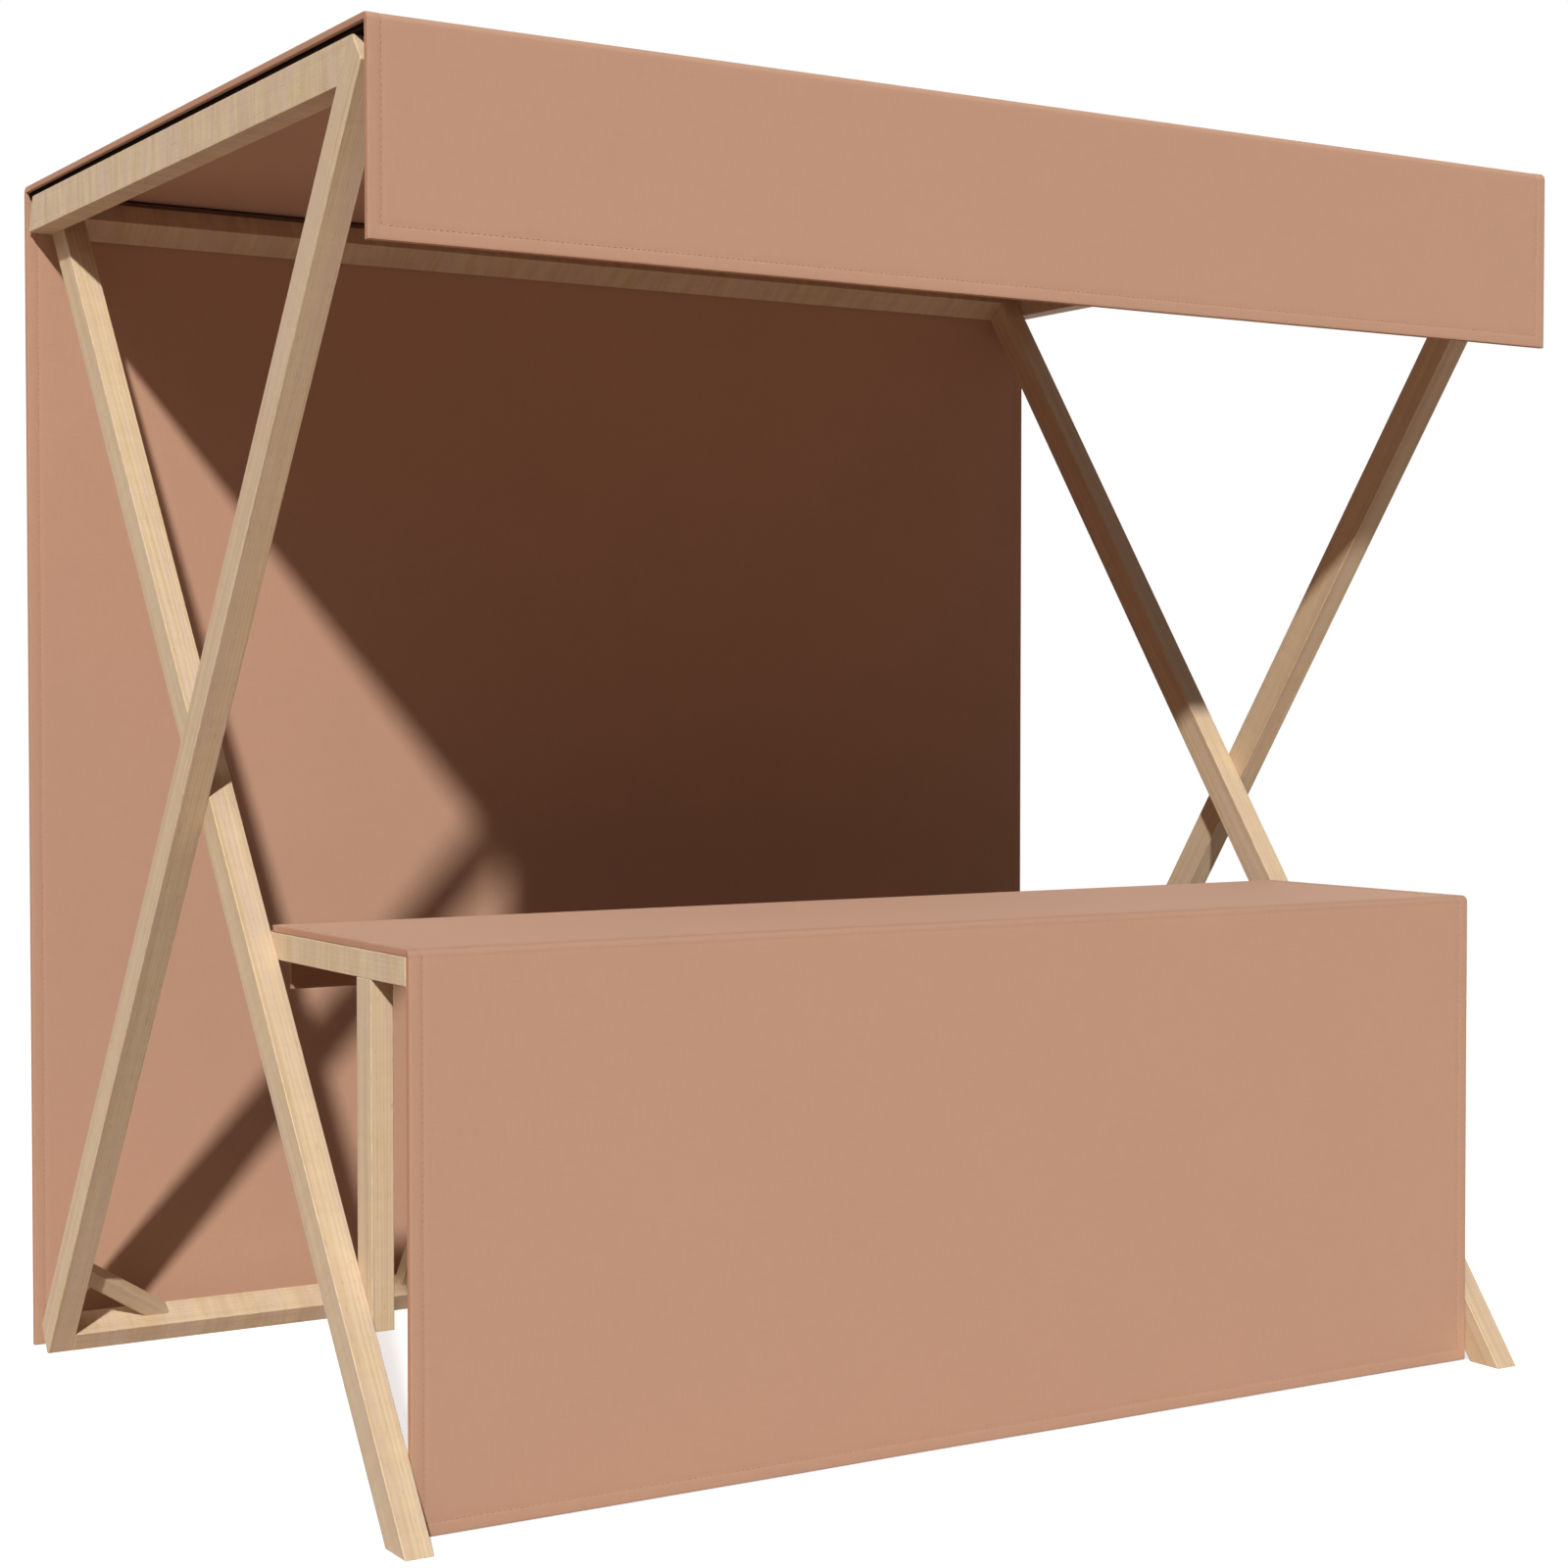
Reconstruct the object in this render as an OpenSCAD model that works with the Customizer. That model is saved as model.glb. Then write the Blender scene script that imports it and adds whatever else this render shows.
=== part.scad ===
// Market stall: two crossed-leg side frames carry a cloth roof, a hanging back
// sheet and a counter. Millimetres, +Z up. The origin is on the ground, at the
// middle of the stall. The front faces -Y.

/* [Overall] */
// Width over the outer faces of the two side frames
frame_w = 2410; // [1800:10:3200]
// Depth from the tips of the front feet to the back of the frame
frame_d = 1660; // [1300:10:2200]
// Height of the top of the roof cloth
roof_top = 2278; // [2000:1:2800]

/* [Frame timber] */
// Thickness of the legs, rails and beams from side to side
timber_w = 48; // [36:1:70]
// Depth of the legs and beams, square to their length
timber_d = 60; // [45:1:90]
// Height of the roof rails
rail_h = 67; // [50:1:100]
// Distance of the back legs' top corner behind the front of the stall
nose_y = 29; // [16:1:60]
// Depth of the slanted cut at the top front corner of each side frame
nose_cut = 32; // [15:1:60]
// Height of that cut
nose_cut_h = 42; // [20:1:60]
// How far the roof rail's lower back corner stops short of the frame's back
rail_tail = 6; // [2:1:30]
// How far the end cut of the roof rail leans forward
rail_tail_lean = 26; // [0:1:40]
// Height of the slanted cut on the back feet
foot_cut = 48; // [20:1:80]
// Thickness planed off the lowest corner of the back feet and base rail
toe = 4; // [2:0.5:10]
// Distance of the front beam behind the front of the stall
front_beam_y = 68; // [60:1:140]

/* [Base braces and cleats] */
// Thickness of the square bars of the braces and cleats
brace_w = 32; // [20:1:45]
// Where a brace meets the base rail, out from the leg
brace_reach = 172; // [120:1:300]
// Where a brace meets the leg, up from the base rail
brace_rise = 133; // [90:1:250]
// Distance of the cleats from the outer faces of the side frames
cleat_x = 748; // [500:1:850]
// Height of the cleats above the base rail
cleat_h = 150; // [80:1:250]

/* [Cloth cover] */
// Thickness of the padded cloth
cover_t = 11; // [6:1:18]
// Inner radius of the cloth where it folds over an edge
crease_r = 1; // [0.2:0.1:1]
// How far the roof cloth stands out past the side frames
roof_lap = 3; // [0:1:40]
// Height of the valance
valance_drop = 330; // [150:5:500]
// Clearance between the cloth and the timber behind it
cloth_gap = 0.3; // [0.3:0.1:2]
// Height of the lower hems above the ground
hem_lift = 2; // [2:1:60]
// Thickness of the battens that carry the roof cloth
batten_t = 11; // [4:1:20]
// Width of the roof battens
batten_w = 26; // [15:1:40]
// How far the battens are set in from the outer face of the rails
batten_inset = 3; // [0:1:30]

/* [Counter] */
// Height of the top of the counter cloth
counter_h = 900; // [750:5:1100]
// Distance of the counter cloth behind the front of the stall
counter_y = 89; // [60:1:200]
// Depth of the counter over its cloth, from front to back
counter_d = 571; // [400:1:700]
// How far the counter cloth hangs down at the back
back_drop = 110; // [60:1:200]
// Width of the counter's side rails and posts
side_rail_w = 38; // [28:1:60]
// Height of the counter's side rails
side_rail_h = 45; // [35:1:70]
// How far the side rails run on across the front legs
side_rail_lap = 34; // [20:1:70]
// Thickness of the counter board
board_t = 18; // [12:1:24]
// Width of the counter's front and back rails
cross_rail_w = 48; // [36:1:80]
// Depth of the counter posts
post_d = 56; // [36:1:80]
// Height of the lower ends of the counter posts
post_foot_z = 292; // [150:1:450]
// Clearance of the counter cloth beside the front legs and side rails
side_gap = 1; // [0.5:0.5:5]

/* [Hidden] */
half_w = frame_w / 2;
overall_d = frame_d + cloth_gap + cover_t;
fold_r = cover_t + crease_r;
rail_top = roof_top - cover_t - batten_t;
rail_bottom = rail_top - rail_h;
inner_w = half_w - 2 * timber_w;
fold_steps = 8;
pine = [0.85, 0.74, 0.60];
stain = [0.16, 0.10, 0.08];
clay = [0.75, 0.58, 0.47];
// Thickness of a glue line, which keeps turned faces just clear of each other
glue = 0.02;

// Lean from the vertical of a bar of thickness w that touches two points lying
// run apart across and rise apart in height, one on each of its long edges.
function lean(run, rise, w) = acos(w / norm([run, rise])) - atan2(rise, run);

// Back legs: lower edge through the nose, upper edge through the back of the
// frame at ground level. Front legs: upper edge through the front of the stall
// at ground level, lower edge through the back end of the roof rail.
nose_z = rail_top - nose_cut_h;
back_lean = lean(frame_d - nose_y, nose_z, timber_d);
front_lean = lean(frame_d, rail_bottom, timber_d);
back_foot_y = frame_d - timber_d / cos(back_lean);
toe_y = back_foot_y + toe / sin(back_lean);
mitre_y = frame_d - rail_bottom * tan(back_lean);

// Counter heights and depths
frame_front_y = counter_y + cover_t + cloth_gap;
frame_back_y = counter_y + counter_d - cover_t - cloth_gap;
fold_back_y = counter_y + counter_d - fold_r;
side_rail_top = counter_h - cover_t - cloth_gap;
side_rail_z = side_rail_top - side_rail_h;
side_rail_end_y = max(frame_back_y, side_rail_top * tan(front_lean) + side_rail_lap);
bay_w = inner_w - side_rail_w;
post_y = post_foot_z * tan(front_lean) + timber_d / cos(front_lean) - post_d;

// ---- helpers -------------------------------------------------------------

// An outline of [depth, height] points, depth measured back from the front of
// the stall, drawn out sideways from x over width w.
module slab(points, x, w)
    translate([x, -overall_d / 2, 0])
        rotate([90, 0, 90])
            linear_extrude(height = w)
                polygon(points);

// A plain bar from x over w, from depth y over d, from height z over h.
module bar(x, w, y, d, z, h)
    translate([x, y - overall_d / 2, z])
        cube([w, d, h]);

// The same shape on the left (as drawn) or on the right.
module on_side(side)
    mirror([side == "right" ? 1 : 0, 0, 0])
        children();

// A point at distance along the leg (up) and across it (to the back), from a
// start point, for a leg that leans forward as it rises.
function off_back_leg(start, up, across) = [
    start[0] - up * sin(back_lean) + across * cos(back_lean),
    start[1] + up * cos(back_lean) + across * sin(back_lean)
];

// The same for a leg that leans back as it rises.
function off_front_leg(start, up, across) = [
    start[0] + up * sin(front_lean) + across * cos(front_lean),
    start[1] + up * cos(front_lean) - across * sin(front_lean)
];

// Points on a quarter turn about centre c, from angle a0 over sweep degrees.
function turn(c, r, a0, sweep) = [
    for (i = [0 : fold_steps])
        c + r * [cos(a0 + sweep * i / fold_steps), sin(a0 + sweep * i / fold_steps)]
];

// ---- side frames ----------------------------------------------------------

module back_leg(side)
    color(pine)
        on_side(side)
            slab([
                [back_foot_y, 0],
                [toe_y, 0],
                [frame_d - foot_cut * tan(back_lean), foot_cut],
                [mitre_y, rail_bottom],
                [nose_y + nose_cut, rail_top],
                [nose_y, nose_z]
            ], -half_w, timber_w);

module front_leg(side)
    color(pine)
        on_side(side)
            slab([
                [0, 0],
                [timber_d / cos(front_lean), 0],
                [frame_d, rail_bottom],
                [frame_d, rail_top],
                [rail_top * tan(front_lean), rail_top]
            ], -half_w + timber_w, timber_w);

module roof_rail(side)
    color(pine)
        on_side(side)
            slab([
                [mitre_y, rail_bottom],
                [frame_d - rail_tail, rail_bottom],
                [frame_d - rail_tail - rail_tail_lean, rail_top],
                [nose_y + nose_cut, rail_top]
            ], -half_w, timber_w);

// From the fold of the cloth in front to the fold behind.
module roof_batten(side)
    color(stain)
        on_side(side)
            bar(-half_w + batten_inset, batten_w,
                fold_r, overall_d - 2 * fold_r,
                rail_top, batten_t - cloth_gap);

// ---- cross members ----------------------------------------------------------

module front_roof_beam()
    color(pine)
        bar(-half_w + timber_w, 2 * (half_w - timber_w),
            front_beam_y, timber_w, rail_top - timber_d, timber_d);

// Turned with the front legs, with its back corner cut flush with the frame.
module back_roof_beam() {
    top = [rail_top * tan(front_lean), rail_top];
    low = off_front_leg(top, -timber_w, 0);
    heel = off_front_leg(low, 0, timber_d);
    color(pine)
        slab([
            low,
            top,
            [frame_d, rail_top - (frame_d - top[0]) * tan(front_lean)],
            [frame_d, heel[1] + (frame_d - heel[0]) / tan(front_lean)],
            heel
        ], -inner_w, 2 * inner_w);
}

// Turned with the back legs, standing on its planed lowest corner.
module back_base_rail() {
    shoulder = off_back_leg([back_foot_y, 0], timber_w - toe, 0);
    color(pine)
        slab([
            shoulder,
            [back_foot_y, 0],
            [toe_y, 0],
            off_back_leg(shoulder, -timber_w, timber_d),
            off_back_leg(shoulder, 0, timber_d)
        ], -half_w + timber_w, 2 * (half_w - timber_w));
}

// A flat outline of [sideways, up the slope] points, standing on the base rail
// from x on, in the slope of the back legs and flush with their back edge.
module on_base_rail(x, points) {
    shoulder = off_back_leg([back_foot_y, 0], timber_w - toe, 0);
    translate([x, shoulder[0] - overall_d / 2, shoulder[1]])
        rotate([back_lean, 0, 0])
            translate([0, timber_d, glue])
                rotate([90, 0, 0])
                    linear_extrude(height = brace_w)
                        polygon(points);
}

module base_brace(side) {
    slope = atan2(brace_rise, brace_reach);
    half_x = brace_w / 2 / sin(slope);
    half_z = brace_w / 2 / cos(slope);
    color(pine)
        on_side(side)
            on_base_rail(-half_w + timber_w, [
                [0, brace_rise - half_z],
                [brace_reach - half_x, 0],
                [brace_reach + half_x, 0],
                [0, brace_rise + half_z]
            ]);
}

module base_cleat(side)
    color(pine)
        on_side(side)
            on_base_rail(-half_w + cleat_x, [
                [0, 0], [brace_w, 0], [brace_w, cleat_h], [0, cleat_h]
            ]);

// ---- counter ----------------------------------------------------------------

module counter_rail(side)
    color(pine)
        on_side(side)
            bar(-inner_w, side_rail_w, frame_front_y,
                side_rail_end_y - frame_front_y, side_rail_z, side_rail_h);

module counter_post(side)
    color(pine)
        on_side(side)
            bar(-inner_w, side_rail_w, post_y, post_d,
                post_foot_z, side_rail_z - post_foot_z);

module cross_rail(y)
    color(pine)
        bar(-bay_w, 2 * bay_w, y, cross_rail_w, side_rail_z, side_rail_h - board_t);

module counter_board()
    color(pine)
        bar(-bay_w, 2 * bay_w, frame_front_y, frame_back_y - frame_front_y,
            side_rail_top - board_t, board_t);

// ---- cloth --------------------------------------------------------------------

module counter_top_cloth() {
    front = [counter_y + fold_r, counter_h - fold_r];
    color(clay)
        slab(concat(
            turn(front, fold_r, 180, -90),
            [[fold_back_y, counter_h], [fold_back_y, counter_h - cover_t]],
            turn(front, crease_r, 90, 90)
        ), -inner_w + side_gap, 2 * (inner_w - side_gap));
}

module counter_front_cloth()
    color(clay)
        bar(-inner_w + side_gap, 2 * (inner_w - side_gap), counter_y, cover_t,
            hem_lift, counter_h - fold_r - hem_lift);

// Folded over the counter's back edge, between the side rails.
module counter_back_cloth() {
    back = [fold_back_y, counter_h - fold_r];
    foot = counter_h - back_drop;
    color(clay)
        slab(concat(
            turn(back, fold_r, 90, -90),
            [[fold_back_y + fold_r, foot], [fold_back_y + crease_r, foot]],
            turn(back, crease_r, 0, 90)
        ), -bay_w + side_gap, 2 * (bay_w - side_gap));
}

module roof_cloth() {
    front = [fold_r, roof_top - fold_r];
    back = [overall_d - fold_r, roof_top - fold_r];
    color(clay)
        slab(concat(
            turn(front, fold_r, 180, -90),
            turn(back, fold_r, 90, -90),
            turn(back, crease_r, 0, 90),
            turn(front, crease_r, 90, 90)
        ), -half_w - roof_lap, frame_w + 2 * roof_lap);
}

module valance()
    color(clay)
        bar(-half_w - roof_lap, frame_w + 2 * roof_lap, 0, cover_t,
            roof_top - valance_drop, valance_drop - fold_r);

module back_sheet()
    color(clay)
        bar(-half_w - roof_lap, frame_w + 2 * roof_lap, frame_d + cloth_gap, cover_t,
            hem_lift, roof_top - fold_r - hem_lift);

// ---- what is drawn ------------------------------------------------------------

back_leg("left");  // left_back_leg
back_leg("right");  // right_back_leg
front_leg("left");  // left_front_leg
front_leg("right");  // right_front_leg
roof_rail("left");  // left_roof_rail
roof_rail("right");  // right_roof_rail
roof_batten("left");  // left_roof_batten
roof_batten("right");  // right_roof_batten
front_roof_beam();
back_roof_beam();
back_base_rail();
base_brace("left");  // left_base_brace
base_brace("right");  // right_base_brace
base_cleat("left");  // left_base_cleat
base_cleat("right");  // right_base_cleat
counter_rail("left");  // left_counter_rail
counter_rail("right");  // right_counter_rail
counter_post("left");  // left_counter_post
counter_post("right");  // right_counter_post
cross_rail(frame_front_y);  // counter_front_rail
cross_rail(frame_back_y - cross_rail_w);  // counter_back_rail
counter_board();
counter_top_cloth();
counter_front_cloth();
counter_back_cloth();
roof_cloth();
valance();
back_sheet();
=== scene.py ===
"""A wooden market stall: its two cloth covers, their stitching, the finish of its timber and a studio.

Lengths are metres. The ground is z = 0 and customers stand on the -y side.
"""

import math
from typing import NamedTuple

import bpy
import numpy as np
from bpy.props import FloatProperty, FloatVectorProperty, PointerProperty
from bpy.types import Operator, Panel, PropertyGroup
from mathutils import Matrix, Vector


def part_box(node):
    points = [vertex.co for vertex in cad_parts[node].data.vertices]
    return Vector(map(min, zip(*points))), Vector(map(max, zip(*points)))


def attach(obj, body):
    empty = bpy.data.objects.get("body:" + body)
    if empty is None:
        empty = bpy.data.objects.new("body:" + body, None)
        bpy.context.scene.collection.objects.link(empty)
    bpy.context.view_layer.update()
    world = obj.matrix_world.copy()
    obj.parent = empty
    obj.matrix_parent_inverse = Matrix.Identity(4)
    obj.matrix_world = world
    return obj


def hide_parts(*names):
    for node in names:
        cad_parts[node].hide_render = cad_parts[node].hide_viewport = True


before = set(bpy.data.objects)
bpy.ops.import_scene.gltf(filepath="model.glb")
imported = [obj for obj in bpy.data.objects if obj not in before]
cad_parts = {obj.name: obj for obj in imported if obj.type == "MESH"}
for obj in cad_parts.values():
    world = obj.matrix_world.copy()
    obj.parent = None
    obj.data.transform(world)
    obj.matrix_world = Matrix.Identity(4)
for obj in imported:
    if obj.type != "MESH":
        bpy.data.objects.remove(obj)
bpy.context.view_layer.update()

bl_info = {
    "name": "Market Stall",
    "version": (1, 0, 0),
    "blender": (4, 5, 0),
    "location": "3D View > Sidebar > Market Stall",
    "description": "Covers, finishes and lights a wooden market stall",
    "category": "Add Mesh",
}

MM = 0.001

# Scale at which a wave texture repeats once a metre.
WAVE_A_METRE = math.pi / 10

# Timber members, and how strongly bands of figure cross their grain.
TIMBERS = {
    "left_back_leg": 0.25,
    "right_back_leg": 0.25,
    "left_front_leg": 0.25,
    "right_front_leg": 0.25,
    "left_roof_rail": 1.0,
    "right_roof_rail": 1.0,
    "left_roof_batten": 0.5,
    "right_roof_batten": 0.5,
    "front_roof_beam": 1.0,
    "back_roof_beam": 1.0,
    "back_base_rail": 0.8,
    "left_base_brace": 0.3,
    "right_base_brace": 0.3,
    "left_base_cleat": 0.3,
    "right_base_cleat": 0.3,
    "left_counter_rail": 1.0,
    "right_counter_rail": 1.0,
    "left_counter_post": 0.25,
    "right_counter_post": 0.25,
    "counter_front_rail": 0.8,
    "counter_back_rail": 0.8,
    "counter_board": 0.4,
}

# Members painted near-black all over: painted shade that stands for the deep shadow in the gap between
# the roof rails and the roof cloth.
SHADE_PAINTED = ("left_roof_batten", "right_roof_batten")


# ---- settings ---------------------------------------------------------------------


class CoverSettings(PropertyGroup):
    """How the cloth covers look and hang."""

    colour: FloatVectorProperty(
        name="Colour", description="Colour of the canvas", subtype="COLOR",
        size=3, min=0, max=1, default=(0.542, 0.318, 0.211),
    )
    thread_colour: FloatVectorProperty(
        name="Thread colour", description="Colour of the sewing thread", subtype="COLOR",
        size=3, min=0, max=1, default=(0.43, 0.235, 0.150),
    )
    hem: FloatProperty(
        name="Hem", description="Distance of the stitch line from the edge of the cloth",
        default=22 * MM, min=10 * MM, max=60 * MM, unit="LENGTH",
    )
    hem_rise: FloatProperty(
        name="Hem rise", description="Extra thickness of the turned hem",
        default=0.5 * MM, min=0, max=3 * MM, unit="LENGTH",
    )
    seam_depth: FloatProperty(
        name="Seam depth", description="How far the stitching pulls the cloth in",
        default=0.7 * MM, min=0, max=3 * MM, unit="LENGTH",
    )
    stitch_pitch: FloatProperty(
        name="Stitch pitch", description="Distance from one stitch to the next",
        default=10 * MM, min=4 * MM, max=30 * MM, unit="LENGTH",
    )
    stitch_gap: FloatProperty(
        name="Stitch gap", description="Bare cloth between two stitches",
        default=3 * MM, min=1 * MM, max=3.5 * MM, unit="LENGTH",
    )
    thread_width: FloatProperty(
        name="Thread width", description="Thickness of the sewing thread",
        default=1.3 * MM, min=0.4 * MM, max=3 * MM, unit="LENGTH",
    )
    flute: FloatProperty(
        name="Flutes", description="How far the hanging cloth waves in and out at its hem",
        default=2.5 * MM, min=0, max=8 * MM, unit="LENGTH",
    )
    sag: FloatProperty(
        name="Roof sag", description="How far the roof cloth hangs down between the rails",
        default=4 * MM, min=0, max=7 * MM, unit="LENGTH",
    )
    # Painted light: how much paler the top of the counter cover is painted, as if it took more light
    # than the front.
    painted_lit: FloatProperty(
        name="Rubbed", description="How much paler the rubbed top of the counter cover is",
        default=0.21, min=0, max=0.5, subtype="FACTOR",
    )
    weave: FloatProperty(
        name="Weave", description="Distance from one thread of the canvas to the next",
        default=1.6 * MM, min=0.4 * MM, max=6 * MM, unit="LENGTH",
    )


class TimberSettings(PropertyGroup):
    """How the planed timber looks."""

    colour: FloatVectorProperty(
        name="Colour", description="Colour of the pale early wood", subtype="COLOR",
        size=3, min=0, max=1, default=(0.730, 0.575, 0.368),
    )
    late_colour: FloatVectorProperty(
        name="Late wood colour", description="Colour of the darker growth rings", subtype="COLOR",
        size=3, min=0, max=1, default=(0.555, 0.375, 0.195),
    )
    rosy_colour: FloatVectorProperty(
        name="Rosy colour", description="Colour of the rosy streaks and bands", subtype="COLOR",
        size=3, min=0, max=1, default=(0.680, 0.525, 0.395),
    )
    # Painted shade: the roof battens are painted near-black to stand for the deep shadow in the gap
    # under the roof cloth.
    batten_painted_shade: FloatVectorProperty(
        name="Batten colour", description="Colour of the dark stain on the roof battens",
        subtype="COLOR", size=3, min=0, max=1, default=(0.022, 0.011, 0.008),
    )
    ring: FloatProperty(
        name="Ring width", description="Distance from one growth ring to the next",
        default=5 * MM, min=1 * MM, max=15 * MM, unit="LENGTH",
    )
    arris: FloatProperty(
        name="Eased edge", description="Width planed off every sharp edge",
        default=1.6 * MM, min=0.2 * MM, max=5 * MM, unit="LENGTH",
    )


class StageSettings(PropertyGroup):
    """The camera, the lamps and the floor."""

    camera: FloatVectorProperty(
        name="Camera place", description="Where the camera stands", subtype="TRANSLATION",
        size=3, default=(-2.851, -4.6325, 1.280),
    )
    camera_turn: FloatVectorProperty(
        name="Camera turn", description="Which way the camera looks", subtype="EULER",
        size=3, default=(math.radians(88.254), 0, math.radians(-31.808)),
    )
    lens: FloatProperty(
        name="Lens", description="Focal length on a 36 mm wide sensor",
        default=64.34, min=10, max=300,
    )
    key_travel: FloatVectorProperty(
        name="Key direction", description="Which way the light of the key lamp travels",
        subtype="DIRECTION", size=3, default=(0.624, 1.0, -0.762),
    )
    key: FloatProperty(
        name="Key strength", description="Strength of the key lamp", default=3.25, min=0, max=20,
    )
    key_softness: FloatProperty(
        name="Key softness", description="Angle that the key lamp fills", subtype="ANGLE",
        unit="ROTATION", default=math.radians(2.4), min=0, max=math.radians(90),
    )
    side_travel: FloatVectorProperty(
        name="Side direction", description="Which way the light of the wide left lamp travels",
        subtype="DIRECTION", size=3, default=(0.7, 0.1, -0.7),
    )
    side: FloatProperty(
        name="Side strength", description="Strength of the wide left lamp",
        default=0.6, min=0, max=20,
    )
    back_travel: FloatVectorProperty(
        name="Back direction", description="Which way the light of the wide back lamp travels",
        subtype="DIRECTION", size=3, default=(-0.45, -0.85, -0.35),
    )
    back: FloatProperty(
        name="Back strength", description="Strength of the wide back lamp",
        default=0.9, min=0, max=20,
    )
    wide_softness: FloatProperty(
        name="Wide softness", description="Angle that each wide lamp fills", subtype="ANGLE",
        unit="ROTATION", default=math.radians(50), min=0, max=math.radians(120),
    )
    fill: FloatProperty(
        name="Fill strength", description="Strength of the even light all round",
        default=0.050, min=0, max=5,
    )
    floor_colour: FloatVectorProperty(
        name="Floor colour", description="Colour of the floor", subtype="COLOR",
        size=3, min=0, max=1, default=(0.62, 0.62, 0.62),
    )
    floor_bounce: FloatVectorProperty(
        name="Floor bounce", description="Colour of the light that the floor throws back on the stall",
        subtype="COLOR", size=3, min=0, max=1, default=(0.40, 0.310, 0.270),
    )
    floor_lift: FloatProperty(
        name="Floor lift", description="White that the floor adds of its own",
        default=0.66, min=0, max=1,
    )
    floor_reach: FloatProperty(
        name="Floor reach", description="Distance at which the floor has faded to white",
        default=9, min=2, max=40, unit="LENGTH",
    )


class StallSettings(PropertyGroup):
    """Everything that can be changed about the stall."""

    cover: PointerProperty(type=CoverSettings, name="Covers", description="The cloth covers")
    timber: PointerProperty(type=TimberSettings, name="Timber", description="The timber frame")
    stage: PointerProperty(type=StageSettings, name="Stage", description="The camera, lamps and floor")


# ---- shader nodes -----------------------------------------------------------------


def add(tree, kind, inputs=None, output=0, **settings):
    """Adds a shader node, links or fills its inputs, and returns one of its outputs."""
    node = tree.nodes.new("ShaderNode" + kind)
    for name, value in settings.items():
        setattr(node, name, value)
    for key, value in (inputs or {}).items():
        if isinstance(value, bpy.types.NodeSocket):
            tree.links.new(value, node.inputs[key])
        else:
            node.inputs[key].default_value = value
    return node.outputs[output]


def scaled(tree, vector, scale):
    """The vector with each part multiplied by its own number."""
    return add(tree, "VectorMath", {0: vector, 1: scale}, operation="MULTIPLY")


def noise(tree, vector, scale, detail=2.0, roughness=0.5):
    """Soft noise from 0 to 1, with a scale in cells a metre along each part of the vector."""
    return add(
        tree, "TexNoise",
        {
            "Vector": scaled(tree, vector, scale), "Scale": 1.0, "Detail": detail,
            "Roughness": roughness,
        },
    )


def remap(tree, value, low, high, to_low=0.0, to_high=1.0, smooth=True):
    """Values from low to high spread over to_low to to_high, and held beyond them."""
    return add(
        tree, "MapRange",
        {"Value": value, "From Min": low, "From Max": high, "To Min": to_low, "To Max": to_high},
        interpolation_type="SMOOTHSTEP" if smooth else "LINEAR",
    )


def calculate(tree, operation, a, b=0.0):
    """One sum on two numbers."""
    return add(tree, "Math", {0: a, 1: b}, operation=operation)


def product(tree, a, b):
    """Two numbers multiplied."""
    return calculate(tree, "MULTIPLY", a, b)


def total(tree, *numbers):
    """All the numbers added up."""
    result = numbers[0]
    for number in numbers[1:]:
        result = calculate(tree, "ADD", result, number)
    return result


def blend_colours(tree, share, a, b):
    """Colour a turning into colour b as share goes from 0 to 1."""
    a, b = ((*c, 1.0) if isinstance(c, tuple) else c for c in (a, b))
    return add(tree, "Mix", {0: share, 6: a, 7: b}, output=2, data_type="RGBA")


def toned(tree, colour, gain):
    """The colour with all its parts multiplied by one number."""
    return add(tree, "VectorMath", {0: colour, "Scale": gain}, operation="SCALE")


def shade(colour, gain):
    """A plain colour multiplied by a number, and held at 1."""
    return tuple(min(1.0, c * gain) for c in colour)


def set_shader(shader, values):
    """Sets what is the same all over the surface, on the shader's own sockets."""
    for name, value in values.items():
        shader.inputs[name].default_value = value


def new_material(name):
    """An empty material and its Principled shader, linked to the output."""
    material = bpy.data.materials.new(name)
    material.use_nodes = True
    tree = material.node_tree
    tree.nodes.clear()
    shader = tree.nodes.new("ShaderNodeBsdfPrincipled")
    output = tree.nodes.new("ShaderNodeOutputMaterial")
    tree.links.new(shader.outputs[0], output.inputs["Surface"])
    return material, tree, shader


def link_bump(tree, shader, height, distance):
    """Turns a height from 0 to 1 into fine relief of that distance."""
    normal = add(tree, "Bump", {"Height": height, "Distance": distance, "Strength": 1.0})
    tree.links.new(normal, shader.inputs["Normal"])


# ---- meshes -----------------------------------------------------------------------


def new_piece(name, points, quads, material):
    """A piece from an array of points and an array of four point numbers a face."""
    mesh = bpy.data.meshes.new(name)
    mesh.vertices.add(len(points))
    mesh.vertices.foreach_set("co", points.astype(np.float32).ravel())
    mesh.loops.add(quads.size)
    mesh.loops.foreach_set("vertex_index", quads.astype(np.int32).ravel())
    mesh.polygons.add(len(quads))
    mesh.polygons.foreach_set("loop_start", np.arange(0, quads.size, 4, dtype=np.int32))
    mesh.update(calc_edges=True)
    mesh.shade_smooth()
    mesh.materials.append(material)
    piece = bpy.data.objects.new(name, mesh)
    bpy.context.scene.collection.objects.link(piece)
    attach(piece, "root")
    return piece


def grid_quads(numbers):
    """The faces of a grid of point numbers, each going across and then on."""
    corners = numbers[:-1, :-1], numbers[:-1, 1:], numbers[1:, 1:], numbers[1:, :-1]
    return np.stack(corners, axis=-1).reshape(-1, 4)


def smooth_step(value, low, high):
    """0 below low and 1 above high, with a soft turn at both: 3 t squared less 2 t cubed."""
    t = np.clip((value - low) / (high - low), 0, 1)
    return t * t * (3 - 2 * t)


# ---- the covers -------------------------------------------------------------------

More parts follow.
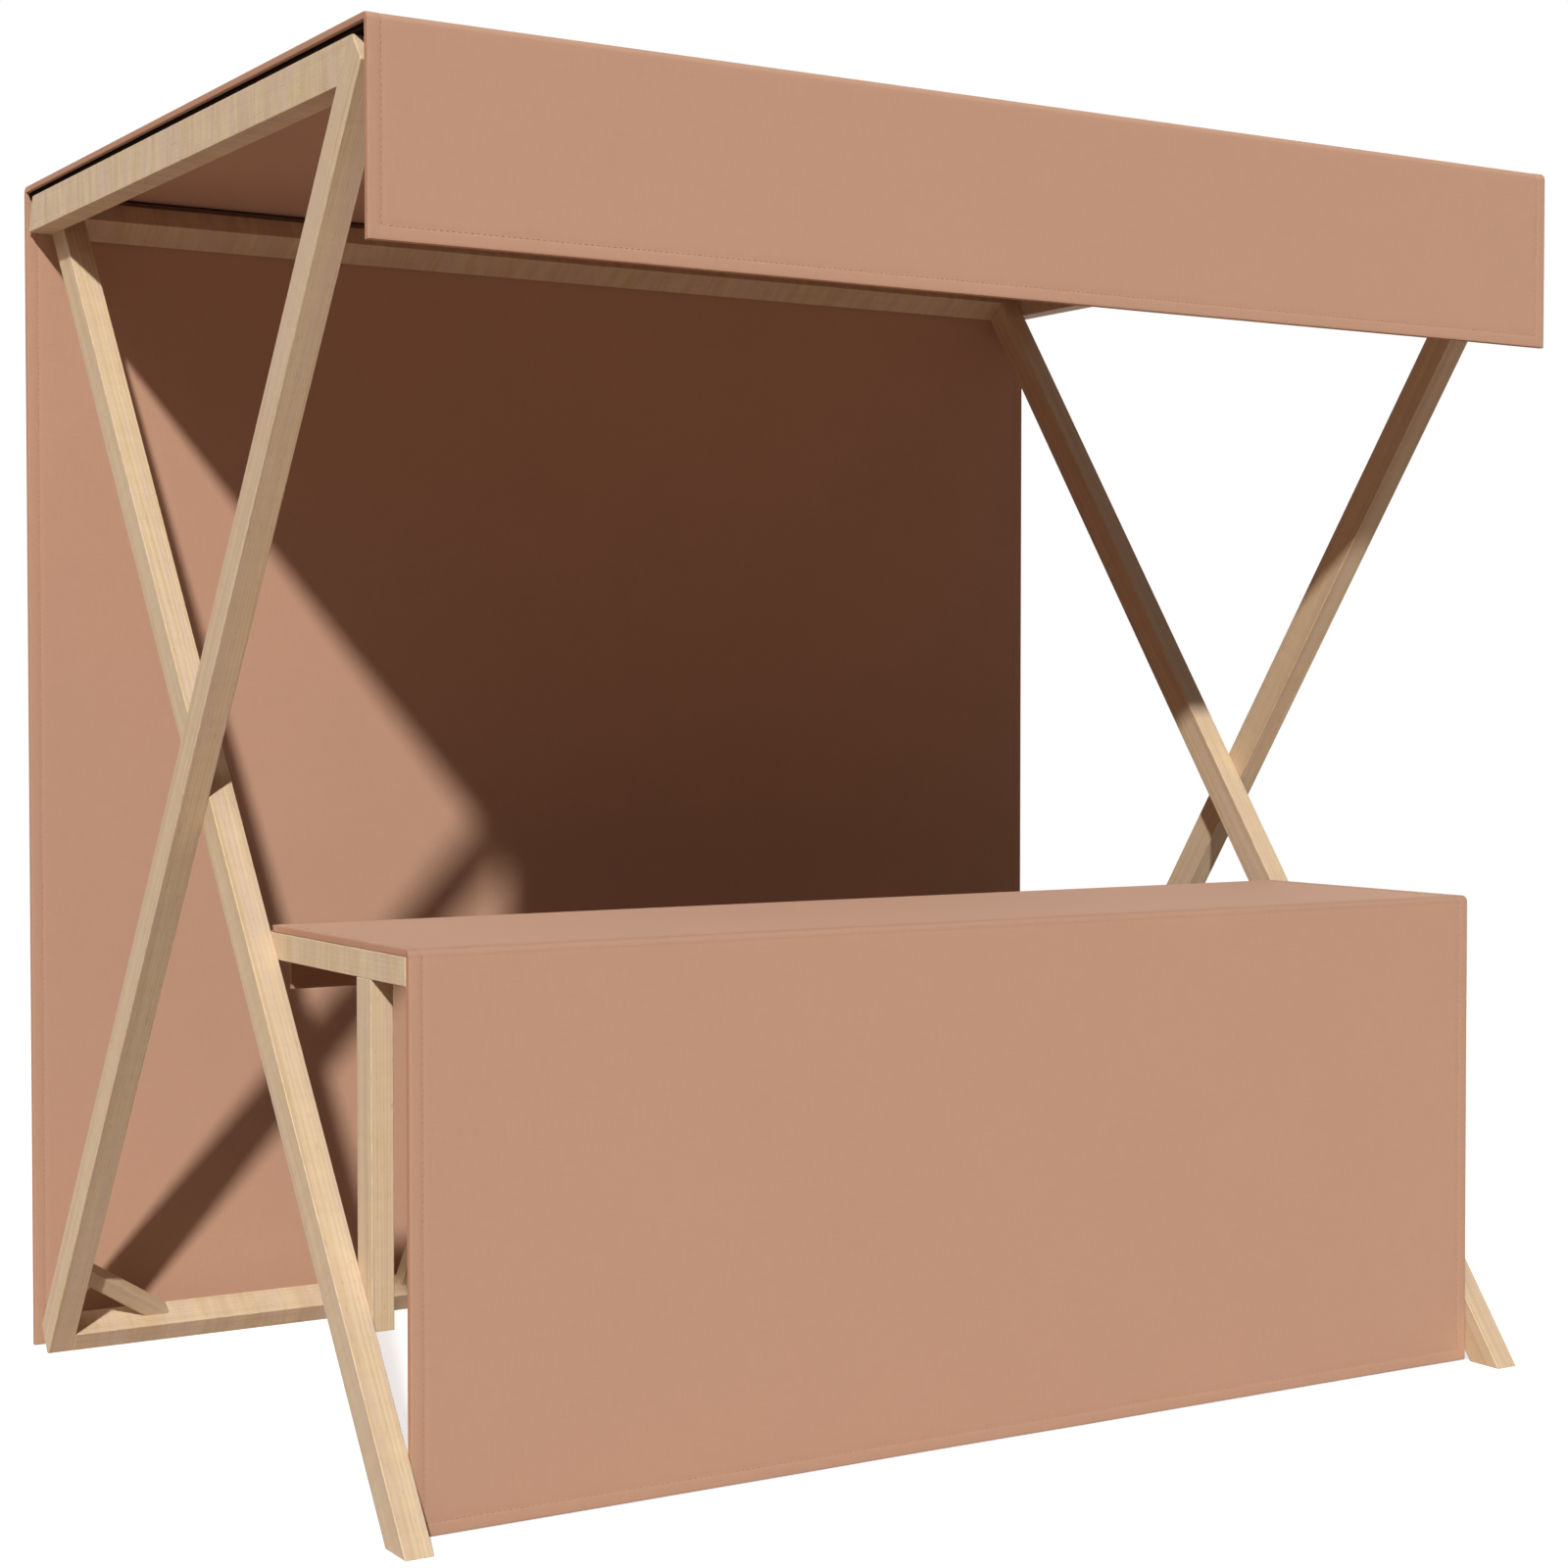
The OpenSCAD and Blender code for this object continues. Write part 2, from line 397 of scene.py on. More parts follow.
# How square the cut edges of the cloth are: 2 is a full round, and more is squarer.
EDGE_POWER = 8

# How far the dip of a stitch line reaches, and how far short of that line the hem starts to thin.
SEAM_REACH = 3 * MM
HEM_THINS = 2 * MM

# Grid lines of a cover: round its cut edges in degrees, about its stitch lines in millimetres,
# between them, over its top, and how far from a fold the first one stays.
ROUND_STEPS = (0, 2, 7, 16, 30, 50, 75)
SEAM_STEPS = (-10, -5, -2.5, 0, 2.5, 5, 12)
DROP_STEP = 38 * MM
TOP_STEP = 30 * MM
FOLD_CLEARANCE = 10 * MM
FOLD_LINES = 11
SHOULDER_LINES = 5

# A stitch: its rings and sides, how far its middle stands off the cloth and how far its ends dip,
# both in widths of thread, and how much it thins.
STITCH_RINGS = 4
STITCH_SIDES = 6
STITCH_STAND = 0.35
STITCH_DIP = 0.6
STITCH_THINNING = 0.5

# The flutes of each drop, as sines: length, phase, drift down the drop and weight.
CANOPY_FRONT_WAVES = ((0.83, 0.4, 0.6, 1.0), (0.47, 2.1, -0.9, 0.6), (0.29, 4.0, 0.5, 0.25))
CANOPY_BACK_WAVES = ((0.95, 1.7, 1.2, 1.0), (0.55, 0.2, -1.4, 0.6), (0.33, 3.1, 1.9, 0.3))
COUNTER_WAVES = ((0.88, 5.2, 0.8, 1.0), (0.52, 1.1, -1.1, 0.6), (0.31, 2.6, 1.3, 0.25))

# How the flutes grow down a drop, how far the valance's also go in, and how much deeper the back's are.
FLUTE_POWER = 1.3
VALANCE_IN = 0.2
BACK_DEPTH = 1.6


class Cover:
    """A cloth that hangs in front, runs over the top and hangs down behind.

    A place on it is given by across, from its middle to either side, and along, from the front
    hem up, over and down to the back hem, both on the flat cloth.
    """

    def __init__(self, front, top, back, shoulder=0.0):
        front_low, front_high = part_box(front)
        top_low, top_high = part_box(top)
        back_low, back_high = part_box(back)
        self.thickness = front_high.y - front_low.y
        half = self.thickness / 2
        self.fold = top_high.z - top_low.z - half
        self.quarter = self.fold * math.pi / 2
        self.front_y = front_low.y + half
        self.front_hem = front_low.z
        level = top_high.z - half - self.fold
        self.front_drop = level - front_low.z
        self.run = back_high.y - half - self.front_y - 2 * self.fold
        self.back_drop = level - back_low.z
        self.half_width = top_high.x
        self.back_half_width = back_high.x
        self.shoulder = shoulder
        self.top_start = self.front_drop + self.quarter
        self.top_end = self.top_start + self.run
        self.back_start = self.top_end + self.quarter
        self.length = self.back_start + self.back_drop

    def middle(self, along):
        """The middle line: straight up, a quarter circle, level, a quarter circle, straight down.

        Each quarter circle turns by its path length over the fold's radius. The line's height
        rises with the sine of the first turn and falls with one less the cosine of the second,
        and its depth grows with one less the cosine of the first and the sine of the second.
        Returns the depth, the height and the two parts of the outward direction.
        """
        first = np.clip(along - self.front_drop, 0, self.quarter) / self.fold
        second = np.clip(along - self.top_end, 0, self.quarter) / self.fold
        level = np.clip(along - self.top_start, 0, self.run)
        up = np.minimum(along, self.front_drop)
        down = np.maximum(along - self.back_start, 0)
        y = self.front_y + self.fold * (1 - np.cos(first) + np.sin(second)) + level
        z = self.front_hem + up - down + self.fold * (np.sin(first) - 1 + np.cos(second))
        turn = first + second
        return y, z, -np.cos(turn), np.sin(turn)

    def width_share(self, along):
        """The cut's width there over its width in front: narrower past the shoulder behind."""
        narrow = self.back_half_width / self.half_width
        if self.shoulder == 0:
            return 1 + (narrow - 1) * (along > self.top_end)
        return 1 + (narrow - 1) * smooth_step(along, self.top_end - self.shoulder, self.top_end)

    def edge_distance(self, across, along):
        """Distance to the nearest cut edge on the flat cloth."""
        side = self.half_width - np.abs(across)
        return np.minimum(side, np.minimum(along, self.length - along))

    def surface(self, across, along, face, cover, rise, lift=0.0):
        """Points on the outer (face 1) or inner (face -1) side of the cloth.

        From its cut edge the thickness grows as a squared-off round: the n-th root of one less the
        n-th power of the share of the round that is left. Out to the stitch line the outer side
        stands up by the turned hem, and both sides dip along the stitch line as a bell curve.
        """
        d = self.edge_distance(across, along)
        half = self.thickness / 2
        left = 1 - np.clip(d / half, 0, 1)
        round_share = (1 - left**EDGE_POWER) ** (1 / EDGE_POWER)
        hem_share = 1 - smooth_step(d, cover.hem - HEM_THINS, cover.hem + SEAM_REACH)
        dip = cover.seam_depth * np.exp(-(((d - cover.hem) / SEAM_REACH) ** 2))
        stand = half * round_share - dip + lift
        if face > 0:
            stand = stand + cover.hem_rise * hem_share * round_share
        off = rise(across, along) + face * stand
        y, z, out_y, out_z = self.middle(along)
        x = across * self.width_share(along)
        return np.stack(np.broadcast_arrays(x, y + off * out_y, z + off * out_z), axis=-1)


def closer_at_ends(length, near, spacing):
    """Places from 0 to length: the near ones at both ends, and evenly spaced ones between."""
    count = max(2, math.ceil((length - 2 * near[-1]) / spacing) + 1)
    between = np.linspace(near[-1], length - near[-1], count)
    return np.concatenate([near[:-1], between, (length - near[:-1])[::-1]])


def sheet_places(shape, cover):
    """Where the grid lines of a cover lie: close together at its edges, hems and folds."""
    half = shape.thickness / 2
    rounding = half * (1 - np.cos(np.radians(ROUND_STEPS)) ** (2 / EDGE_POWER))
    near = np.concatenate([rounding, [half], cover.hem + np.array(SEAM_STEPS) * MM])
    across = closer_at_ends(2 * shape.half_width, near, DROP_STEP) - shape.half_width
    up = np.arange(near[-1] + DROP_STEP, shape.front_drop - FOLD_CLEARANCE, DROP_STEP)
    first_fold = np.linspace(shape.front_drop, shape.top_start, FOLD_LINES)
    top_finish = shape.top_end - shape.shoulder
    top = np.linspace(shape.top_start, top_finish, math.ceil(shape.run / TOP_STEP))[1:]
    narrowing = []
    if shape.shoulder > 0:
        narrowing = np.linspace(top_finish, shape.top_end, SHOULDER_LINES)[1:-1]
    second_fold = np.linspace(shape.top_end, shape.back_start, FOLD_LINES)
    down_start = shape.back_start + FOLD_CLEARANCE
    down = np.arange(down_start, shape.length - near[-1] - FOLD_CLEARANCE, DROP_STEP)
    end = (shape.length - near)[::-1]
    return across, np.concatenate([near, up, first_fold, top, narrowing, second_fold, down, end])


def make_sheet(name, shape, cover, rise, material):
    """One closed cloth: an outer and an inner grid of points that meet at the cut edges."""
    across, along = sheet_places(shape, cover)
    a, s = np.meshgrid(across, along)
    outer = shape.surface(a, s, 1, cover, rise)
    inner = shape.surface(a, s, -1, cover, rise)[1:-1, 1:-1]
    rows, columns = a.shape
    outer_numbers = np.arange(rows * columns).reshape(rows, columns)
    inner_numbers = outer_numbers.copy()
    inside = np.arange((rows - 2) * (columns - 2)).reshape(rows - 2, -1)
    inner_numbers[1:-1, 1:-1] = rows * columns + inside
    points = np.concatenate([outer.reshape(-1, 3), inner.reshape(-1, 3)])
    quads = np.concatenate([grid_quads(outer_numbers), grid_quads(inner_numbers)[:, ::-1]])
    piece = new_piece(name, points, quads, material)
    flat = np.stack([a, s], axis=-1)
    flat = np.concatenate([flat.reshape(-1, 2), flat[1:-1, 1:-1].reshape(-1, 2)])
    layer = piece.data.uv_layers.new(name="flat_cloth")
    layer.data.foreach_set("uv", flat[quads.ravel()].astype(np.float32).ravel())
    return piece


def stitch_lines(shape, cover):
    """Where each stitch of a cover is, across and along, and 1 where it runs across or else 0."""
    side = shape.half_width - cover.hem
    count_along = round((shape.length - 2 * cover.hem) / cover.stitch_pitch)
    count_across = round(2 * side / cover.stitch_pitch)
    up = np.linspace(cover.hem, shape.length - cover.hem, count_along, endpoint=False)
    over = np.linspace(-side, side, count_across, endpoint=False)
    half = cover.stitch_pitch / 2
    rows = [
        (np.full_like(up, -side), up + half, np.zeros_like(up)),
        (np.full_like(up, side), up + half, np.zeros_like(up)),
        (over + half, np.full_like(over, cover.hem), np.ones_like(over)),
        (over + half, np.full_like(over, shape.length - cover.hem), np.ones_like(over)),
    ]
    return (np.concatenate(part) for part in zip(*rows))


def make_stitches(name, shape, cover, rise, material):
    """Every stitch of a cover as one piece, on both of its faces.

    A stitch is a six-sided thread laid on the cloth. Going along it from -1 to 1, its middle
    stands off the cloth by one share of the thread's width, less another share times the square
    of the place, so that its two ends dip into the cloth. Its thickness shrinks as the root of
    one less half of that square.
    """
    across, along, run_across = (v[:, None, None] for v in stitch_lines(shape, cover))
    place = np.linspace(-1, 1, STITCH_RINGS)[None, :, None]
    angle = np.radians(np.arange(STITCH_SIDES) * 360 / STITCH_SIDES)[None, None, :]
    thick = cover.thread_width / 2 * np.sqrt(1 - STITCH_THINNING * place**2)
    reach = place * (cover.stitch_pitch - cover.stitch_gap) / 2
    aside = thick * np.cos(angle)
    a = across + np.where(run_across > 0, reach, aside)
    s = along + np.where(run_across > 0, -aside, reach)
    lift = cover.thread_width * (STITCH_STAND - STITCH_DIP * place**2) + thick * np.sin(angle)
    count = across.size * STITCH_RINGS * STITCH_SIDES
    points, quads = [], []
    for face, first in ((1, 0), (-1, count)):
        block = shape.surface(a, s, face, cover, rise, lift)
        numbers = first + np.arange(count).reshape(-1, STITCH_RINGS, STITCH_SIDES)
        around = np.roll(numbers, -1, axis=2)
        walls = [numbers[:, :-1], around[:, :-1], around[:, 1:], numbers[:, 1:]]
        caps = [numbers[:, 0][:, [3, 2, 1, 0]], numbers[:, 0][:, [0, 5, 4, 3]]]
        caps += [numbers[:, -1][:, [0, 1, 2, 3]], numbers[:, -1][:, [3, 4, 5, 0]]]
        faces = np.concatenate([np.stack(walls, axis=-1).reshape(-1, 4), *caps])
        points.append(block.reshape(-1, 3))
        quads.append(faces if face > 0 else faces[:, ::-1])
    return new_piece(name, np.concatenate(points), np.concatenate(quads), material)


def flutes(across, height_share, waves):
    """Soft upright waves from 0 to 1: a weighted sum of sines across, which drift as they fall."""
    waved = sum(
        weight * np.sin(2 * math.pi * across / length + phase + drift * height_share)
        for length, phase, drift, weight in waves
    )
    return 0.5 + 0.5 * waved / sum(weight for *_, weight in waves)


def canopy_rise(shape, cover):
    """How far the canopy stands out from its middle line.

    The drops wave outwards, as a power of the share of the way down to their hems. The roof hangs
    down between the battens as one less the square of the share of the way out to them, and as a
    half sine from front to back.
    """
    low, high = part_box("right_roof_batten")
    carried = (low.x + high.x) / 2

    def rise(across, along):
        front = np.clip(1 - along / shape.front_drop, 0, 1)
        back = np.clip((along - shape.back_start) / shape.back_drop, 0, 1)
        over = np.clip((along - shape.top_start) / shape.run, 0, 1)
        hang = np.clip(1 - (across / carried) ** 2, 0, 1) * np.sin(math.pi * over)
        valance = front**FLUTE_POWER * (flutes(across, front, CANOPY_FRONT_WAVES) - VALANCE_IN)
        behind = BACK_DEPTH * back**FLUTE_POWER * flutes(across, back, CANOPY_BACK_WAVES)
        return cover.flute * (valance + behind) - cover.sag * hang

    return rise


def counter_rise(shape, cover):
    """How far the counter cover stands out from its middle line: its front drop waves outwards."""

    def rise(across, along):
        front = np.clip(1 - along / shape.front_drop, 0, 1)
        return cover.flute * front**FLUTE_POWER * flutes(across, front, COUNTER_WAVES)

    return rise


# ---- the canvas -------------------------------------------------------------------

# Noise on the flat cloth, in cells a metre across, along and through it.
WARP_SLUBS = (650, 22, 1)
WEFT_SLUBS = (22, 650, 1)
DYE_CLOUDS = (3.5, 3.5, 1)

# How far the dye and the slubs turn the colour paler and deeper, and between which noise values.
DYE_SHIFT = 0.025
DYE_RANGE = (0.25, 0.75)
SLUB_SHIFT = 0.05
SLUB_RANGE = (0.7, 1.3)

# Roughness of the canvas from its thin threads to its slubs, and the noise values it goes with.
CANVAS_ROUGHNESS = (0.82, 0.94)
ROUGHNESS_RANGE = (0.6, 1.4)

# How much the threads and the slubs stand out, and by what height in all.
THREAD_RELIEF = 0.5
SLUB_RELIEF = 0.6
CANVAS_RELIEF = 0.25 * MM

# Painted shade on the thickness that shows at a cut, as its narrow faces turn away from the light:
# its tint, and where from the edge it starts and stops fading.
CUT_SHADE_TINT = (0.93, 0.79, 0.70)
CUT_SHADE_FADE = (0.6 * MM, 1.6 * MM)

# How dark the front fold of the counter cover is, and where that starts and stops fading, in
# shares of the fold's quarter circle from its middle.
FOLD_GAIN = 0.87
FOLD_FADE = (0.25, 0.75)

# Painted light on the top of the counter cover: how far past its front fold, and short of its back fold
# and its sides, the paler colour starts and is full.
LIGHT_PAST_FRONT = (-15 * MM, 35 * MM)
LIGHT_SHORT_OF_BACK = (0, 10 * MM)
LIGHT_SHORT_OF_SIDE = (3 * MM, 9 * MM)

CANVAS_SHADER = {"Specular IOR Level": 0.07, "Sheen Weight": 0.1, "Sheen Roughness": 0.5}
THREAD_SHADER = {"Roughness": 0.6, "Sheen Weight": 0.2}

# Noise in the thread, in cells a metre, and how far it turns the colour.
TWIST = (900, 900, 900)
TWIST_SHIFT = 0.2


def flat_place(tree, flat):
    """Distance from the cloth's middle, and from its front hem, on the flat cloth."""
    across = calculate(tree, "ABSOLUTE", add(tree, "SeparateXYZ", {0: flat}, output=0))
    return across, add(tree, "SeparateXYZ", {0: flat}, output=1)


def paint_shade_on_cut(tree, flat, shape, colour):
    """The colour with painted shade: redder and darker on the thickness that shows where the cloth is
    cut, as those narrow faces turn away from the light.
    """
    across, along = flat_place(tree, flat)
    side = calculate(tree, "SUBTRACT", shape.half_width, across)
    end = calculate(tree, "MINIMUM", along, calculate(tree, "SUBTRACT", shape.length, along))
    inwards = calculate(tree, "MINIMUM", side, end)
    return blend_colours(tree, remap(tree, inwards, *CUT_SHADE_FADE), scaled(tree, colour, CUT_SHADE_TINT), colour)


def paint_top_light(tree, flat, shape, colour, cover):
    """The colour with painted light: paler over the top of the cloth, as if it took more light than the
    front, and a little darker on its front fold.
    """
    across, along = flat_place(tree, flat)
    middle = shape.front_drop + shape.quarter / 2
    from_fold = calculate(tree, "ABSOLUTE", calculate(tree, "SUBTRACT", along, middle))
    fade = (share * shape.quarter for share in FOLD_FADE)
    fold_darkening = remap(tree, from_fold, *fade, FOLD_GAIN, 1.0)
    past_front = remap(tree, along, *(shape.top_start + reach for reach in LIGHT_PAST_FRONT))
    to_back = calculate(tree, "SUBTRACT", shape.top_end, along)
    to_side = calculate(tree, "SUBTRACT", shape.half_width, across)
    painted_light = product(tree, past_front, remap(tree, to_back, *LIGHT_SHORT_OF_BACK))
    painted_light = product(tree, painted_light, remap(tree, to_side, *LIGHT_SHORT_OF_SIDE))
    gain = remap(tree, painted_light, 0.0, 1.0, 1.0, 1.0 + cover.painted_lit, smooth=False)
    return toned(tree, toned(tree, colour, fold_darkening), gain)


def canvas_material(name, cover, shape, painted_lit=False):
    """Matt clay-brown canvas: plain weave, uneven threads and faint cloudy dye, on the flat cloth."""
    material, tree, shader = new_material(name)
    flat = add(tree, "UVMap", uv_map="flat_cloth")
    weave = {"Vector": flat, "Scale": WAVE_A_METRE / cover.weave, "Distortion": 0.0}
    warp = add(tree, "TexWave", weave, output=1, bands_direction="X")
    weft = add(tree, "TexWave", weave, output=1, bands_direction="Y")
    threads = calculate(tree, "MAXIMUM", warp, weft)
    slubs = total(tree, *(noise(tree, flat, cells, detail=3) for cells in (WARP_SLUBS, WEFT_SLUBS)))
    clouds = noise(tree, flat, DYE_CLOUDS, detail=4, roughness=0.6)
    base = tuple(cover.colour)
    dyed, slubbed = (
        blend_colours(tree, remap(tree, value, *ends), shade(base, 1 - shift), shade(base, 1 + shift))
        for value, ends, shift in ((clouds, DYE_RANGE, DYE_SHIFT), (slubs, SLUB_RANGE, SLUB_SHIFT))
    )
    colour = paint_shade_on_cut(tree, flat, shape, blend_colours(tree, 0.5, dyed, slubbed))
    # The counter cover's top gets painted light: a paler colour, as if it were lit more than the front.
    if painted_lit:
        colour = paint_top_light(tree, flat, shape, colour, cover)
    tree.links.new(colour, shader.inputs["Base Color"])
    roughness = remap(tree, slubs, *ROUGHNESS_RANGE, *CANVAS_ROUGHNESS)
    tree.links.new(roughness, shader.inputs["Roughness"])
    set_shader(shader, CANVAS_SHADER)
    height = total(tree, product(tree, threads, THREAD_RELIEF), product(tree, slubs, SLUB_RELIEF))
    link_bump(tree, shader, height, CANVAS_RELIEF)
    return material


def thread_material(cover):
    """Sewing thread, a little darker than the cloth, with a twist that shows as fine bands."""
    material, tree, shader = new_material("sewing_thread")
    twist = noise(tree, add(tree, "TexCoord", output=3), TWIST, detail=1)
    base = tuple(cover.thread_colour)
    colour = blend_colours(tree, twist, shade(base, 1 - TWIST_SHIFT), shade(base, 1 + TWIST_SHIFT))
    tree.links.new(colour, shader.inputs["Base Color"])
    set_shader(shader, THREAD_SHADER)
    return material


# ---- the timber -------------------------------------------------------------------


class Grain(NamedTuple):
    """Noise in the wood, with cells counted by the metre, twice across the grain and then along it."""

    cells: tuple
    detail: float = 2
    roughness: float = 0.5


class Mark(NamedTuple):
    """One kind of mark in the wood: it starts at one value of its noise and is full at another.

    Its strength is given for a plain member and for a fully figured one.
    """

    grain: Grain
    start: float
    full: float
    plain: float
    figured: float


FIBRES = Grain((1100, 1100, 22), 3, 0.6)
PORES = Grain((520, 520, 42))

# Marks that turn the pale wood rosy, and marks that turn it towards the late wood.
ROSY_MARKS = (
    Mark(Grain((60, 60, 1.1)), 0.38, 0.62, 1.0, 0.0),
    Mark(Grain((7, 7, 31)), 0.40, 0.62, 0.0, 1.0),
)
LATE_MARKS = (
    Mark(Grain((160, 160, 3.5), 3), 0.35, 0.75, 0.30, 0.0),
    Mark(FIBRES, 0.3, 0.8, 0.18, 0.0),
    Mark(Grain((62, 62, 0.8)), 0.46, 0.76, 0.36, 0.0),
    Mark(Grain((5, 5, 42), 3, 0.62), 0.35, 0.68, 0.0, 0.42),
    Mark(Grain((9, 9, 190)), 0.4, 0.7, 0.0, 0.18),
)

# How much of the plain marks a fully figured member loses.
PLAIN_LOSS = 0.7

# The log: how far its heart is from a member, how much of its length the members are spread over,
# and the share of a turn, or of that length, from one member to the next.
HEART_REACH = 0.075
LOG_LENGTH = 3.7
GOLDEN_SHARE = 0.618034

# The rings: how they are drawn out along the grain, how slow noise sways them, which part of the
# wave they show, and how strongly.
RING_DRAW = (1, 1, 0.07)
SWAY_CELLS = 9.0
SWAY_REACH = (0.03, 0.03, 0.0)
RING_WOBBLE = {"Distortion": 1.2, "Detail": 2.0, "Detail Scale": 40.0}
RING_RANGE = (0.35, 1.0)
RING_STRENGTH = 0.30

# The noise values at which a pore starts and is full, how dark it is, and how strongly it shows.
PORE_RANGE = (0.64, 0.72)
PORE_SHADE = 0.55
PORE_STRENGTH = 0.35

# How much the fibres stand out, and the pores and rings dip, and by what height in all.
FIBRE_RELIEF = 0.6
PORE_RELIEF = 0.8
RING_RELIEF = 0.25
TIMBER_RELIEF = 0.18 * MM

# Eased edges: points closer than this are joined, flats that turn less than this are one face,
# edges that turn more than this are eased, in so many steps, and how much flat faces count.
JOIN_REACH = 0.02 * MM
FLAT_TURN = math.radians(0.5)
SHARP_TURN = math.radians(15)
EASING_STEPS = 3
FLAT_WEIGHT = 100

# Roughness of planed faces and of eased edges, and the noise values it goes with.
PLANED_ROUGHNESS = (0.50, 0.66)
EASED_ROUGHNESS = (0.42, 0.58)
GRAIN_RANGE = (0.2, 0.8)

# Gloss of planed wood and of the battens painted near-black as shade, how dark late wood is in that
# painted shade, how much of the late colour worn edges have, their noise in cells a metre, and the
# noise values that the worn colour goes with.
PLANED_GLOSS = 0.22
SHADE_PAINTED_GLOSS = 0.0
SHADE_PAINTED_LATE = 0.5
WORN_SHARE = 0.55
RUB_CELLS = (60, 60, 60)
RUB_RANGE = (0.3, 0.7)


def long_axis(node):
    """The middle of a member and the way its grain runs: the main axis of its corner points."""
    points = np.empty(len(node.data.vertices) * 3)
    node.data.vertices.foreach_get("co", points)
    points = np.unique(points.reshape(-1, 3).round(5), axis=0)
    centre = points.mean(axis=0)
    axes = np.linalg.svd(points - centre, full_matrices=False)[2]
    return centre, axes[0]


def log_place(tree, node, number):
    """A member's place in a log of its own, with the grain along z and the heart at x = y = 0.

    The heart lies beside the member. From one member to the next, it goes round by the golden
    share of a turn, and the member slides along the log by the same share.
    """
    centre, grain = long_axis(node)
    turn = Vector(grain).rotation_difference(Vector((0, 0, 1)))
    share = (number * GOLDEN_SHARE) % 1
    around = 2 * math.pi * share
    side = HEART_REACH * math.cos(around), HEART_REACH * math.sin(around)
    return add(
        tree, "Mapping",
        {
            "Vector": add(tree, "TexCoord", output=3),
            "Location": Vector((*side, LOG_LENGTH * share)) - turn @ Vector(centre),
            "Rotation": turn.to_euler(),
        },
    )


def growth_rings(tree, log, ring):
    """Rings from 0 to 1: circles about the heart, swayed by slow noise along the grain."""
    drawn_out = scaled(tree, log, RING_DRAW)
    slow = add(tree, "TexNoise", {"Vector": drawn_out, "Scale": SWAY_CELLS, "Detail": 2.0}, output=1)
    sway = add(tree, "VectorMath", {0: slow, 1: (0.5, 0.5, 0.5)}, operation="SUBTRACT")
    swayed = add(tree, "VectorMath", {0: drawn_out, 1: scaled(tree, sway, SWAY_REACH)}, operation="ADD")
    rings = add(
        tree, "TexWave", {"Vector": swayed, "Scale": WAVE_A_METRE / ring, **RING_WOBBLE},
        output=1, wave_type="RINGS", rings_direction="Z",
    )
    return remap(tree, rings, *RING_RANGE)


def marks(tree, log, kinds, figure):
    """All marks of some kinds, added up, for a member with that much figure."""
    plain = 1 - PLAIN_LOSS * figure
    return total(tree, *(
        remap(
            tree, noise(tree, log, *mark.grain), mark.start, mark.full,
            0.0, mark.plain * plain + mark.figured * figure,
        )
        for mark in kinds
    ))


def timber_material(name, node, figure, number, colours, gloss, timber):
    """Planed timber: pale wood that turns rosy in places, with growth rings, streaks and pores.

    A plain member has its marks along the grain, and a figured one has bands across it.
    """
    material, tree, shader = new_material(name)
    log = log_place(tree, node, number)
    rings = growth_rings(tree, log, timber.ring)
    fibres = noise(tree, log, *FIBRES)
    pores = remap(tree, noise(tree, log, *PORES), *PORE_RANGE)
    pale, rosy, late = colours
    early = blend_colours(tree, marks(tree, log, ROSY_MARKS, figure), pale, rosy)
    lines = product(tree, rings, RING_STRENGTH * (1 - PLAIN_LOSS * figure))
    wood = blend_colours(tree, total(tree, lines, marks(tree, log, LATE_MARKS, figure)), early, late)
    wood = blend_colours(tree, product(tree, pores, PORE_STRENGTH), wood, shade(late, PORE_SHADE))
    tree.links.new(wood, shader.inputs["Base Color"])
    roughness = remap(tree, fibres, *GRAIN_RANGE, *PLANED_ROUGHNESS)
    tree.links.new(roughness, shader.inputs["Roughness"])
    set_shader(shader, {"Specular IOR Level": gloss})
    dips = total(tree, product(tree, pores, PORE_RELIEF), product(tree, rings, RING_RELIEF))
    relief = calculate(tree, "SUBTRACT", product(tree, fibres, FIBRE_RELIEF), dips)
    link_bump(tree, shader, relief, TIMBER_RELIEF)
    return material


def arris_material(timber):
    """The eased edges: smoothed by use, and worn towards the late colour in places."""
    material, tree, shader = new_material("timber_eased_edge")
    rub = noise(tree, add(tree, "TexCoord", output=3), RUB_CELLS, detail=3)
    pale, late = tuple(timber.colour), tuple(timber.late_colour)
    worn = tuple((1 - WORN_SHARE) * a + WORN_SHARE * b for a, b in zip(pale, late))
    colour = blend_colours(tree, remap(tree, rub, *RUB_RANGE), pale, worn)
    tree.links.new(colour, shader.inputs["Base Color"])
    roughness = remap(tree, rub, *GRAIN_RANGE, *EASED_ROUGHNESS)
    tree.links.new(roughness, shader.inputs["Roughness"])
    set_shader(shader, {"Specular IOR Level": PLANED_GLOSS})
    return material


def ease_edges(node, timber):
    """Joins a member's loose corners and flats, and rounds its edges in the second material."""
    corners = node.modifiers.new("join_corners", "WELD")
    corners.merge_threshold = JOIN_REACH
    flats = node.modifiers.new("join_flats", "DECIMATE")
    flats.decimate_type = "DISSOLVE"
    flats.angle_limit = FLAT_TURN
    arris = node.modifiers.new("eased_edges", "BEVEL")
    arris.width = timber.arris
    arris.segments = EASING_STEPS
    arris.limit_method = "ANGLE"
    arris.angle_limit = SHARP_TURN
    arris.material = 1
    shading = node.modifiers.new("flat_faces", "WEIGHTED_NORMAL")
    shading.weight = FLAT_WEIGHT


# ---- operators --------------------------------------------------------------------

# Width of the camera's sensor in millimetres, which the lens is given for.
SENSOR_WIDTH = 36

